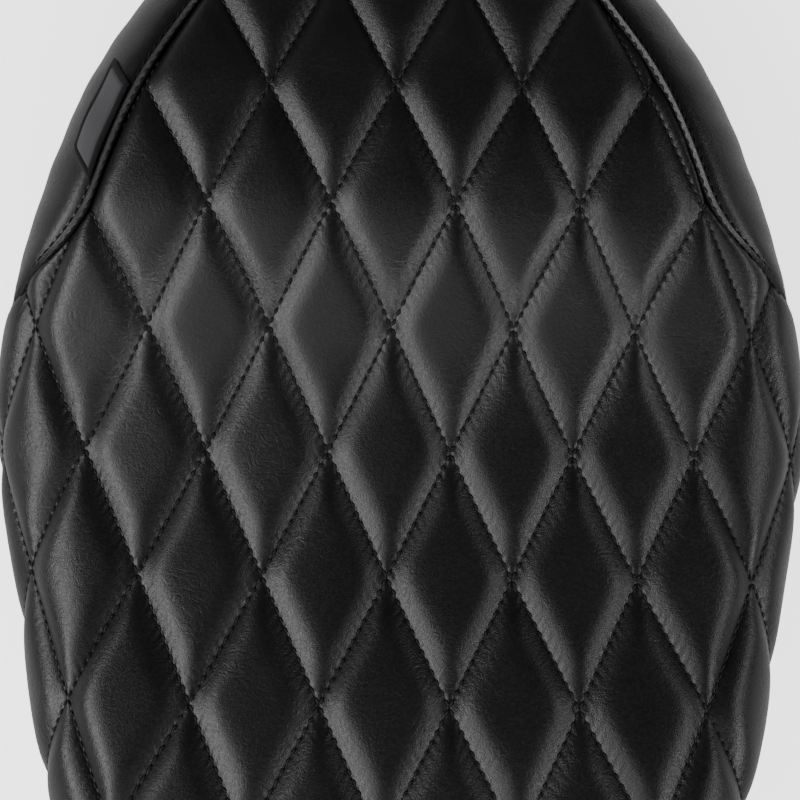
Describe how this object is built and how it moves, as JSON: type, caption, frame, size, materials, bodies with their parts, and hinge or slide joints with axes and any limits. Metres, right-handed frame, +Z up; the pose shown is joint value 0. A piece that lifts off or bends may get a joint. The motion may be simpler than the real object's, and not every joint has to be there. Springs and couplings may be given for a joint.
{
  "type": "motorcycle seat",
  "caption": "Solo motorcycle seat with a dished, diamond-quilted black cover over moulded foam on a steel pan with a nose tongue and a slotted tail tab.",
  "frame": {"origin": "on the ground plane under the middle of the seat's overall box, tail tab included", "axes": "+Z up, +Y towards the nose of the seat, +X to the rider's right"},
  "size_m": [0.3162, 0.5037, 0.1153],
  "materials": {
    "quilted_vinyl": "satin",
    "plain_vinyl": "satin",
    "backing_foam": "matte",
    "moulded_foam": "matte",
    "polyester_thread": "satin",
    "powder_coat": "satin",
    "zinc_plate": "satin",
    "rivet_alloy": "satin",
    "rubber": "matte"
  },
  "bodies": {
    "root": {"quilted_cover": "quilted_vinyl", "nose_panel_left": "plain_vinyl", "nose_panel_right": "plain_vinyl", "quilt_backing": "backing_foam", "nose_backing_left": "backing_foam", "nose_backing_right": "backing_foam", "foam_core": "moulded_foam", "label": "polyester_thread", "seat_pan": "powder_coat", "tail_tab": "powder_coat", "nose_tongue": "powder_coat", "pan_edge_strip": "rubber", "bumper_front_left": "rubber", "bumper_front_right": "rubber", "bumper_middle_left": "rubber", "bumper_middle_right": "rubber", "bumper_rear_left": "rubber", "bumper_rear_right": "rubber", "bolt_nose_left": "zinc_plate", "bolt_nose_right": "zinc_plate", "bolt_tail_left": "zinc_plate", "bolt_tail_right": "zinc_plate", "washer_nose_left": "zinc_plate", "washer_nose_right": "zinc_plate", "washer_tail_left": "zinc_plate", "washer_tail_right": "zinc_plate", "nut_nose_left": "zinc_plate", "nut_nose_right": "zinc_plate", "nut_tail_left": "zinc_plate", "nut_tail_right": "zinc_plate", "rivet_01": "rivet_alloy", "rivet_02": "rivet_alloy", "rivet_03": "rivet_alloy", "rivet_04": "rivet_alloy", "rivet_05": "rivet_alloy", "rivet_06": "rivet_alloy", "rivet_07": "rivet_alloy", "rivet_08": "rivet_alloy", "rivet_09": "rivet_alloy", "rivet_10": "rivet_alloy", "rivet_11": "rivet_alloy", "rivet_12": "rivet_alloy"}
  },
  "joints": []
}
